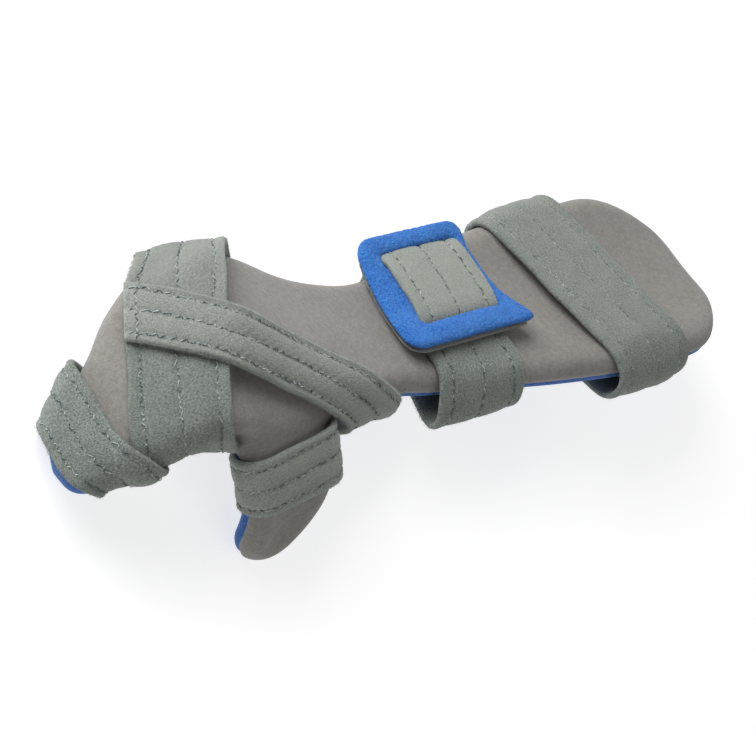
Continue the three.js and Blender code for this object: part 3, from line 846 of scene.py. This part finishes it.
def needles(roots, tips, radius):
    """Thin closed spikes from roots to tips, as points and triangles, four of each to a spike."""
    spokes = spokes_round(unit(tips - roots), 3)
    points = np.concatenate([roots[:, None] + radius * spokes, tips[:, None]], 1)
    return points.reshape(-1, 3), needle_faces(len(roots))


def loose_pile(name, band, seed, starts, ends, painted_light):
    """Fibres that stand out of a band's upper side and fray out of its two edges."""
    draw = np.random.default_rng(int(1000 * seed))
    on_edges = int(2 * EDGE_FIBRES * band.length)
    count = on_edges + int(FACE_FIBRES * band.length * band.width)
    edge = np.arange(count) < on_edges
    side = np.where(np.arange(count) % 2, 1, -1)
    half = band.width / 2
    across = draw.uniform(FIBRE_INSET - half, half - FIBRE_INSET, count)
    across = np.where(edge, side * (half - FIBRE_ROOT), across)
    share = draw.uniform(0.01, 0.99, count)
    if starts is None:
        station = share * band.stations
    else:
        first, last = (np.interp(across / band.width, SHARES, v) for v in (starts, ends))
        station = first + share * (last - first)
    along = band.distance_at(station)
    face = STRAP_THICKNESS + plush_rise(across, along, band.width, seed) - FIBRE_SUNK
    height = np.where(edge, draw.uniform(0.3, 0.9, count) * STRAP_THICKNESS, face)
    stray = np.clip(draw.normal(size=(3, count)), -2, 2) * FIBRE_STRAY[:, None]
    out = draw.uniform(0.5, 1, count) * FIBRE_REACH
    tip_across = across + np.where(edge, side * (FIBRE_ROOT + out), stray[0])
    tip_height = height + np.where(edge, stray[1], FIBRE_SUNK + FIBRE_LIFT * out)
    tip_station = band.station_at(along + stray[2])
    roots = band.at(across, station, height)
    points, faces = needles(roots, band.at(tip_across, tip_station, tip_height), FIBRE_RADIUS)
    piece = new_piece(name, in_frame(points), faces, 180)
    lay = np.repeat(np.stack([along + FIBRE_SHIFT * share, across, 0 * along], 1), 4, 0)
    # The fibres carry their band's painted light: where the plush is painted paler.
    if painted_light:
        lay[:, 2] = painted_light(points)
    set_lay(piece.data, lay)
    return piece


def plush():
    made, shader, start = cloth("plush", 0.35, 0.4)
    lay = start.node("ShaderNodeAttribute", {"attribute_name": "lay"}, (), "Vector")
    along, across, painted_light = (lay.node("ShaderNodeSeparateXYZ", (), {0: lay}, k) for k in range(3))
    strokes = lay.combined(2.4 * along + 0.8 * across, 0.9 * across - 0.3 * along).noise(1, 3, 0.65)
    curls = lay.combined(2 * along - 0.9 * across, 1 * across + 0.45 * along, 7).noise(1, 2, 0.6)
    patches = lay.stretched((0.16, 0.1, 0)).noise(1, 2, 0.5)
    tone = (0.55 * strokes + 0.35 * curls + 0.1 * patches).between(0.35, 0.65)
    # Painted light: a darker copy of the plush and a paler, lit copy, mixed by the painted light in
    # the attribute "lay".
    raised = tone.mix(rgb(90, 98, 92), rgb(156, 163, 156))
    flat = tone.mix(rgb(140, 145, 138), rgb(170, 175, 167))
    painted_light.mix(raised, flat).to(shader, "Base Color")
    (0.95 - 0.1 * curls).to(shader, "Roughness")
    (0.6 * strokes + 0.4 * curls).bump(0.0009, 1).to(shader, "Normal")
    return made


def teal_thread():
    made, shader, place = placed_cloth("teal_thread", 0.1, 0.3)
    # Painted highlights and shade: the thread is painted at random from dark teal to pale along its
    # stitches.
    stitch_glint_and_shade = place.noise(420, 2, 0.6).between(0.42, 0.62)
    stitch_glint_and_shade.mix(rgb(72, 92, 92), rgb(186, 197, 192)).to(shader, "Base Color")
    shader.inputs["Roughness"].default_value = 0.45
    twist = place.noise(2600, 1, 0.5)
    twist.bump(0.0002, 0.5).to(shader, "Normal")
    return made


PLUSH = plush()
THREAD = teal_thread()


def finish_strap(
    node, band, seed, starts=None, ends=None, more_runs=(), painted_light=None, stand=0.5
):
    """The plush band that stands for a strap's node, with its stitches and pile, all attached to
    the body, and the node's part hidden.
    """
    strap = band_piece(node + "_plush", band, seed, starts, ends, painted_light)
    strap.data.materials.append(PLUSH)

    def reached(row, stations):
        return band.distance_at(np.interp(row / band.width, SHARES, stations))

    def first(row):
        return 0 if starts is None else reached(row, starts) + CUT_MARGIN

    def last(row):
        return band.length if ends is None else reached(row, ends) - CUT_MARGIN

    runs = row_holes(band, seed, first, last) + list(more_runs)
    rows = stitches(node + "_stitches", band, seed, runs, stand)
    rows.data.materials.append(THREAD)
    pile = loose_pile(node + "_pile", band, seed, starts, ends, painted_light)
    pile.data.materials.append(PLUSH)
    for piece in (strap, rows, pile):
        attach(piece, "root")
    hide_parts(node)
    flat = (band.width / 1000, (last(0) - first(0)) / 1000)
    return strap


forearm_place = body_frame(125.5, -4, 0, 13.4, 11)
forearm_slacks = [(-0.5, -0.9, (3, 3), 16)]
forearm_band = Band(body_cloud, forearm_place, BROAD_STRAP, gap=0.7, slacks=forearm_slacks)


def light_on_top(points):
    """Painted light: the forearm strap is painted paler on its upper side, over its stitches, where
    the light falls on it.
    """
    across, level, _ = forearm_place.inward(points).T
    return 0.3 * smoothstep(level, 2, 9) * smoothstep(across, -42, -30)


finish_strap(
    "forearm_strap",
    forearm_band,
    0.4,
    painted_light=light_on_top,
    stand=0.05,
)

# Hand strap
# The same plush, narrower, closed round the palm behind the knuckles, a little loose at the
# little finger's edge.

HAND_STRAP = 38
hand_place = body_frame(-122.9, -2, 24, -33.8, 32)
hand_slacks = [(0.8, 0.6, (1, 3), 16), (1, 0, (1.6, 0), 20), (-0.7, -0.7, (0, 3.4), 18)]
HAND_FAR_PULL = 4  # of the finger edge, up the arm


def hand_drift(lanes):
    """The strap is drawn narrower where it turns round the little finger's edge."""
    return HAND_FAR_PULL * (0.5 - SHARES[:, None]) * smoothstep(lanes[..., 0], 18, 44)


hand_band = Band(body_cloud, hand_place, HAND_STRAP, slacks=hand_slacks, drift=hand_drift)


def light_far(points):
    """Painted light: the hand strap is painted paler towards the little finger's edge, its far
    side, where the light falls.
    """
    return 0.55 * smoothstep(hand_place.inward(points)[:, 0], -5, 24)


hand_strap = finish_strap(
    "hand_strap", hand_band, 1.9, painted_light=light_far
)

# Diagonal strap
# The same plush, sewn to the hand strap's finger edge, laid over the palm and turned under the
# wrist's thumb edge, where it is fastened to the back.

DIAGONAL_STRAP = 24
DIAGONAL_TAIL = 22  # under the wrist
SEARCH_STEP = 0.25
SEWN_LEVEL = 3  # of the sewn end's upper side
SEWN_PAST = 0.3  # beyond the hand strap's edge
SEWN_SHARE = 0.46  # of the width, to either side
SEWN_REACH = 30
hand_skin = (vertices_of(hand_strap.data) * 1000 - WRIST) @ REST
diagonal_band = Band(
    np.vstack([body_cloud, hand_skin]),
    body_frame(-51.3, -25.6, 12, 55.8, 31),
    DIAGONAL_STRAP,
    gap=1.2,
    slacks=[(-0.5, 0.87, (0, 3), 22)],
    stiff=(3, 8),
)


def diagonal_ends(band):
    """The stations where each lane leaves the hand strap's finger edge, and where it ends."""
    far = band.lanes[LANES // 2][:, 0].argmax()
    near = band.lanes[LANES // 2][:, 0].argmin()
    near = near + band.stations if near < far else near
    starts = []
    for level in SHARES * band.width:
        station = np.arange(far, near, SEARCH_STEP)
        across, height = np.full((2, len(station)), [[level], [SEWN_LEVEL]])
        points = band.at(across, station, height)
        beyond = hand_place.inward(points)[:, 2] < -HAND_STRAP / 2 - SEWN_PAST
        starts.append(station[np.nonzero(beyond)[0].max(initial=0)] if beyond.any() else far)
    tail = band.station_at(band.along[int(near % band.stations)] + DIAGONAL_TAIL)
    tail = tail + (near // band.stations) * band.stations
    return np.array(starts), np.full(LANES, tail)


def sewn_row(band, starts):
    """Needle holes of the hand strap's first row, where it runs on through the sewn end."""
    level = ROW_SHARES[0] * HAND_STRAP
    holes = []
    for k, share in enumerate(np.arange(-SEWN_SHARE, SEWN_SHARE, STITCH_STEP / band.width)):
        start = band.distance_at(np.interp(share, SHARES, starts))
        along = start + np.arange(0, SEWN_REACH, SEARCH_STEP)
        across = np.full(len(along), share * band.width)
        spots = band.at(across, band.station_at(along), 0 * along)
        past = hand_place.inward(spots)[:, 2] > level + STITCH_SWING * (1 if k % 2 else -1)
        holes.append((across[0], along[past.argmax()]))
    return np.array(holes)


def evenly_lit(points):
    """Painted light: the narrow straps that lie flat are painted paler all over, as lit copies of
    the plush.
    """
    return np.full(len(points), 0.65)


diagonal_starts, diagonal_tails = diagonal_ends(diagonal_band)
finish_strap(
    "diagonal_strap",
    diagonal_band,
    3.1,
    starts=diagonal_starts,
    ends=diagonal_tails,
    more_runs=[sewn_row(diagonal_band, diagonal_starts)],
    painted_light=evenly_lit,
)

# Finger strap
# A narrow band of the same plush, closed on itself round the finger end. Its upper side bows
# towards the curled tip that it is pulled over.

FINGER_STRAP = 26
finger_place = body_frame(-160.6, -13, -0.1, 9.8, 53.7)
FINGER_BOW = 2.8  # of its upper side, towards the tip


def finger_bow(lanes):
    """How far the upper side bows, most a little towards the thumb's side of its middle."""
    across, level = lanes[..., 0], lanes[..., 1]
    middle, reach = (across.max() + across.min()) / 2, np.ptp(across) / 2
    share = (across - middle) / reach
    bowed = 1.15 * (1 - share**2) ** 2 * (1 - 0.6 * share)
    return -FINGER_BOW * bowed * smoothstep(level, -3, 5)


finger_band = Band(
    np.vstack([body_cloud, hand_skin]),
    finger_place,
    FINGER_STRAP,
    slacks=[(0.9, 0.4, (0, 3.7), 12)],
    drift=finger_bow,
)
finish_strap("finger_strap", finger_band, 4.6)

# Thumb strap
# A narrow band of the same plush, closed on itself round the thumb rest. It is sewn with the
# same three rows, and it is painted paler all over as painted light.

THUMB_STRAP = 25
thumb_place = BandFrame((-81, -39, -9), FINGERWARD, (-3, 10, 12.3))
thumb_band = Band(thumb_cloud, thumb_place, THUMB_STRAP)
finish_strap("thumb_strap", thumb_band, 5.2, painted_light=evenly_lit)

# Wrist strap
# A broad band of the same plush that hangs loose below the wrist's thumb edge. It comes up
# through one slit of the wrist cushion, lies over its middle and goes down through the other.

CUSHION_THICKNESS = 6
CUSHION_BACKING = 1.8
CUSHION_REACH = 35  # along the forearm, from its middle
WINDOW_FAR = 30.3
WINDOW_NEAR = -6.5
cushion_place = body_frame(36, -2, 0, 0, 2)
wrist_place = body_frame(36.8, -2, 0, -3.5, 2)
under_cushion = cushion_place.inward(body_cloud)
under_cushion = under_cushion[np.abs(under_cushion[:, 2]) < CUSHION_REACH]
CUSHION_LEVEL = under_cushion[:, 1].max() + STRAP_GAP
STRAP_RISE = CUSHION_THICKNESS + 0.7  # over that level, where the strap lies on the cushion


def threaded(line):
    """A strap's line, brought up through the far slit, over the cushion and down the near one."""
    line = np.roll(line, -line[:, 0].argmin(), 0)
    far = line[:, 0].argmax()
    under, over = line[: far + 1], line[far:]
    high = CUSHION_LEVEL + STRAP_RISE
    raised = [
        (WINDOW_FAR + 1.2, high - 3),
        (WINDOW_FAR - 0.8, high - 0.7),
        (WINDOW_FAR - 6, high + 0.2),
        ((WINDOW_FAR + WINDOW_NEAR) / 2, high + 0.4),
        (WINDOW_NEAR + 7, high),
        (WINDOW_NEAR + 1.5, high - 1.3),
        (WINDOW_NEAR - 2.5, CUSHION_LEVEL + 0.5),
    ]
    up_far = over[(over[:, 0] > WINDOW_FAR / 2) & (over[:, 1] < 4)]
    down_near = over[over[:, 0] < WINDOW_NEAR - 4]
    return np.vstack([under, up_far, raised, down_near])


FAR_DRIFT = 9  # up the arm, at the far slit


def wrist_drift(lanes):
    """The strap's far side slants up the arm below the cushion."""
    across, level = lanes[..., 0], lanes[..., 1]
    return FAR_DRIFT * smoothstep(across, 24, 37) * (1 - smoothstep(level, 2, 9))


wrist_band = Band(
    body_cloud,
    wrist_place,
    BROAD_STRAP,
    slacks=[(-0.8, -0.6, (11, 4), 11)],
    thread=threaded,
    drift=wrist_drift,
)


def light_in_window(points):
    """How far the strap is painted paler, as painted light and sheen, where it lies on top over the
    cushion.
    """
    across, level, _ = cushion_place.inward(points).T
    inside = smoothstep(across, WINDOW_NEAR - 3, WINDOW_NEAR + 4)
    return inside * smoothstep(level, CUSHION_LEVEL + 3, CUSHION_LEVEL + STRAP_RISE)


finish_strap(
    "wrist_strap",
    wrist_band,
    6.7,
    painted_light=light_in_window,
)

# Wrist cushion
# A soft rectangular pad with two slits: blue fleecy loop cloth on top and grey knit below, sewn
# together round the edge. Its ends lie on the wrist strap that is threaded through it.

CUSHION_VOXEL = 0.8
CUSHION_PASSES = 6
CUSHION_GAP = 0.2  # between its two cloths
CUSHION_RISE = 3.3  # of the border, over the strap
CUSHION_DROOP = 4  # of its two sides, which the strap doesn't lift
DROOP_WIDTH = 27
DROOP_REACH = (10, 30)  # along the forearm, from the middle
CUSHION_MIDDLE = 11
BORDER_POINTS, BORDER_SIDES = 260, 28
BORDER_BULGE, BORDER_CROWN = 0.85, 0.95  # powers that fill out the border's section
# Corners of the border, from the near one towards the fingers round by the far side: across the
# forearm, along it, and how round they are. The side towards the elbow is drawn in.
CUSHION_CORNERS = [(-18, -37.5, 10), (39.8, -29.5, 9), (39.3, 33, 9), (9, 28, 18), (-18.5, 39, 5)]
WINDOW_CORNERS = [(WINDOW_NEAR, -21.5), (WINDOW_FAR, -20.3), (WINDOW_FAR, 24), (WINDOW_NEAR, 23.5)]
WINDOW_ROUNDING = 3
BRIDGE_WIDTH = 27
BRIDGE_ENDS = (-25, 29)  # along the forearm
BRIDGE_RINGS, BRIDGE_SIDES = 60, 48
BRIDGE_LIFT = 0.4
BRIDGE_THINNED = 0.1  # on each side
BRIDGE_STRAIGHT = 0.1  # left between the roundings of its edges, on each side of their middle


def rounded_corners(corners, radii, count):
    """Points at even distances round a flat figure with rounded corners."""
    corners = np.array(corners, float)
    points = []
    for k, radius in enumerate(radii):
        before, here, after = corners[k - 1], corners[k], corners[(k + 1) % len(corners)]
        start, end = here + radius * unit(before - here), here + radius * unit(after - here)
        share = np.linspace(0, 1, 12)[:, None]
        points.append((1 - share) ** 2 * start + 2 * share * (1 - share) * here + share**2 * end)
    return walked(np.vstack(points), count)[0]


def cushion_lift(across, along):
    """How far the cushion's sides droop between the two borders that lie on the strap."""
    inside = np.clip(1 - ((across - CUSHION_MIDDLE) / DROOP_WIDTH) ** 2, 0, 1)
    return -CUSHION_DROOP * inside * smoothstep(np.abs(along), *DROOP_REACH)


def cushion_border(low, high, grow, slide):
    """A plump ring round the cushion's window."""
    corners = np.array(CUSHION_CORNERS)
    middle = corners[:, :2].mean(0)
    wider = corners[:, :2] + grow * unit(corners[:, :2] - middle) + (slide, 0)
    outside = rounded_corners(wider, corners[:, 2], BORDER_POINTS)
    inside = rounded_corners(WINDOW_CORNERS, [WINDOW_ROUNDING] * 4, BORDER_POINTS)
    bearing = np.unwrap(np.arctan2(*(inside - middle).T[::-1]))
    wanted = np.unwrap(np.arctan2(*(outside - middle).T[::-1]))
    turns = np.concatenate([bearing - 2 * math.pi, bearing, bearing + 2 * math.pi])
    order = np.argsort(turns)
    inside = np.stack([np.interp(wanted, turns[order], np.tile(c, 3)[order]) for c in inside.T], 1)
    turn = np.arange(BORDER_SIDES) * 2 * math.pi / BORDER_SIDES
    bulge = np.sign(np.cos(turn)) * np.abs(np.cos(turn)) ** BORDER_BULGE
    crown = np.sign(np.sin(turn)) * np.abs(np.sin(turn)) ** BORDER_CROWN
    flat = ((outside + inside) / 2)[:, None] + ((outside - inside) / 2)[:, None] * bulge[:, None]
    level = CUSHION_LEVEL + CUSHION_RISE + (low + high) / 2 + (high - low) / 2 * crown
    level = level + cushion_lift(flat[..., 0], flat[..., 1])
    points = np.stack([flat[..., 0], level, flat[..., 1]], -1).reshape(-1, 3)
    faces = split(grid_faces(BORDER_POINTS, BORDER_SIDES, close_rows=True))
    return points, facing_out(points, faces)


def cushion_bridge(low, high):
    """The strip between the two slits, under the strap."""
    half, wide = (high - low) / 2 - BRIDGE_THINNED, BRIDGE_WIDTH / 2
    outline = [(-wide, -half), (wide, -half), (wide, half), (-wide, half)]
    outline = rounded_corners(outline, [half - BRIDGE_STRAIGHT] * 4, BRIDGE_SIDES)
    rings = np.empty((BRIDGE_RINGS, BRIDGE_SIDES, 3))
    rings[..., 0] = outline[:, 0] + CUSHION_MIDDLE
    rings[..., 1] = outline[:, 1] + CUSHION_LEVEL + BRIDGE_LIFT + (low + high) / 2
    rings[..., 2] = np.linspace(*BRIDGE_ENDS, BRIDGE_RINGS)[:, None]
    points, faces = lofted(rings)
    return points, facing_out(points, faces)


def cushion_layer(low, high, grow, slide, rough):
    """One of the cushion's two cloths, its border and bridge in one, with a tufted skin."""
    skins = [cushion_border(low, high, grow, slide), cushion_bridge(low, high)]
    points, faces = fused(skins, CUSHION_VOXEL)
    edges = edges_of(faces)
    points = relaxed(points, edges, CUSHION_PASSES)
    tufts = relaxed(np.random.default_rng(11).normal(size=(len(points), 1)), edges, 1)
    points = points + rough * tufts * normals_of(points, faces)
    return in_frame(cushion_place.outward(points)), faces


def blue_fleece():
    made, shader, place = placed_cloth("blue_fleece", 0.1, 0.45)
    loops = place.node("ShaderNodeTexVoronoi", (), {"Vector": place, "Scale": 850}, "Distance")
    fluff = place.noise(1500, 3, 0.7)
    cloud = place.noise(120, 2, 0.5)
    tone = 0.7 * fluff + 0.1 * loops + 0.2 * cloud
    tone.between(0.3, 0.7).mix(rgb(30, 92, 180), rgb(80, 148, 228)).to(shader, "Base Color")
    (0.95 - 0.1 * fluff).to(shader, "Roughness")
    (0.7 * fluff - 0.4 * loops).bump(0.0012, 1).to(shader, "Normal")
    return made


fleece_low = CUSHION_BACKING + CUSHION_GAP
knit = cushion_layer(0, CUSHION_BACKING, grow=-1.4, slide=-1.6, rough=0.03)
fleece = cushion_layer(fleece_low, CUSHION_THICKNESS + 1, grow=0, slide=0, rough=0.16)
knit = new_piece("cushion_knit", *knit, 180)
fleece = new_piece("cushion_fleece", *fleece, 180)
finish_padded(knit, GREY_KNIT, "cushion_backing")
finish_padded(fleece, blue_fleece(), "cushion_face")

# Loose pile
# The plush bands' fibres are worn away or pressed flat where another piece lies on them, and so
# are those that would reach the floor.

LYING_CLOSE = 0.35
OFF_FLOOR = 0.3
COVERING = ("_plush", "_face", "_back", "_fleece", "_knit")
skins = {}
for piece in bpy.data.objects:
    if piece.name.endswith(COVERING):
        corners = np.empty(len(piece.data.loops), int)
        piece.data.loops.foreach_get("vertex_index", corners)
        points = (vertices_of(piece.data) * 1000).tolist()
        skins[piece.name] = BVHTree.FromPolygons(points, corners.reshape(-1, 3).tolist())
for pile in [piece for piece in bpy.data.objects if piece.name.endswith("_pile")]:
    fibres = vertices_of(pile.data).reshape(-1, 4, 3) * 1000
    lay = np.empty(fibres.size)
    pile.data.attributes["lay"].data.foreach_get("vector", lay)
    kept = fibres[:, :, 2].min(1) > OFF_FLOOR
    strap_name = pile.name.replace("_pile", "_plush")
    others = [tree for name, tree in skins.items() if name != strap_name]
    tips = fibres[:, 3].tolist()
    for k in np.nonzero(kept)[0]:
        kept[k] = all(tree.find_nearest(tips[k], LYING_CLOSE)[0] is None for tree in others)
    points, faces = fibres[kept].reshape(-1, 3) / 1000, needle_faces(kept.sum())
    thinned = bpy.data.meshes.new(pile.name)
    thinned.from_pydata(points.tolist(), [], faces.tolist())
    set_lay(thinned, lay.reshape(fibres.shape)[kept])
    thinned.materials.append(PLUSH)
    pile.data = thinned

# Studio
# A plain pale floor that glows softly, a key panel behind the little finger's side, two panels
# for fill from the elbow's and the thumb's side, and a faint sky. The camera stands where it sees
# the splint as the picture does.

FLOOR_SIZE = 6
floor_mesh = bpy.data.meshes.new("floor")
corners = [(x * FLOOR_SIZE, y * FLOOR_SIZE, 0) for x, y in ((-1, -1), (1, -1), (1, 1), (-1, 1))]
floor_mesh.from_pydata(corners, [], [(0, 1, 2, 3)])
floor = bpy.data.objects.new("floor", floor_mesh)
bpy.context.scene.collection.objects.link(floor)
paper = bpy.data.materials.new("paper")
paper.use_nodes = True
paper_look = {
    "Base Color": (0.5, 0.5, 0.5, 1),
    "Roughness": 0.9,
    "Specular IOR Level": 0,
    "Emission Color": (1, 1, 1, 1),
    "Emission Strength": 0.7,
}
for name, value in paper_look.items():
    paper.node_tree.nodes["Principled BSDF"].inputs[name].default_value = value
floor_mesh.materials.append(paper)

# The picture's axes in the splint's own frame, and its scale in a square of 756 pixels.
VIEW_RIGHT = (0.694, -0.539, 0.478)
VIEW_UP = (0.173, 0.769, 0.615)
VIEW_BACK = (-0.699, -0.344, 0.627)
PICTURE = 756
WRIST_PIXEL = (372, 338)
CAMERA_DISTANCE = 1100
FOCAL_PIXELS = 2640
SENSOR = 36
axes = [REST @ np.array(v) for v in (VIEW_RIGHT, VIEW_UP, VIEW_BACK)]
right, up, back = (unit(v) for v in axes)
slide_right = (PICTURE / 2 - WRIST_PIXEL[0]) / FOCAL_PIXELS
slide_down = (PICTURE / 2 - WRIST_PIXEL[1]) / FOCAL_PIXELS
backward = unit(back - slide_right * right + slide_down * up)
rightward = unit(np.cross(up, backward))
camera_data = bpy.data.cameras.new("camera")
camera_data.sensor_width = SENSOR
camera_data.lens = SENSOR * FOCAL_PIXELS / PICTURE
camera = bpy.data.objects.new("camera", camera_data)
turn = Matrix(np.stack([rightward, np.cross(backward, rightward), backward], 1).tolist()).to_4x4()
camera.matrix_world = Matrix.Translation(Vector((WRIST + CAMERA_DISTANCE * back) / 1000)) @ turn
bpy.context.scene.collection.objects.link(camera)
bpy.context.scene.camera = camera


def panel(name, place, size, power):
    """A square light panel that faces the splint."""
    data = bpy.data.lights.new(name, "AREA")
    data.shape = "SQUARE"
    data.size = size
    data.energy = power
    light = bpy.data.objects.new(name, data)
    light.location = place
    light.rotation_euler = (-Vector(place)).to_track_quat("-Z", "Y").to_euler()
    bpy.context.scene.collection.objects.link(light)


panel("key", (-0.462, 0.8514, 0.5236), 0.9, 14.5)
panel("right", (1.36, 0.32, 0.72), 1.3, 4)
panel("near", (0, -1.2, 1.04), 1.3, 5)
world = bpy.data.worlds.new("sky")
bpy.context.scene.world = world
world.use_nodes = True
world.node_tree.nodes["Background"].inputs["Color"].default_value = (1, 1, 1, 1)
world.node_tree.nodes["Background"].inputs["Strength"].default_value = 0.18
bpy.context.scene.view_settings.view_transform = "Standard"
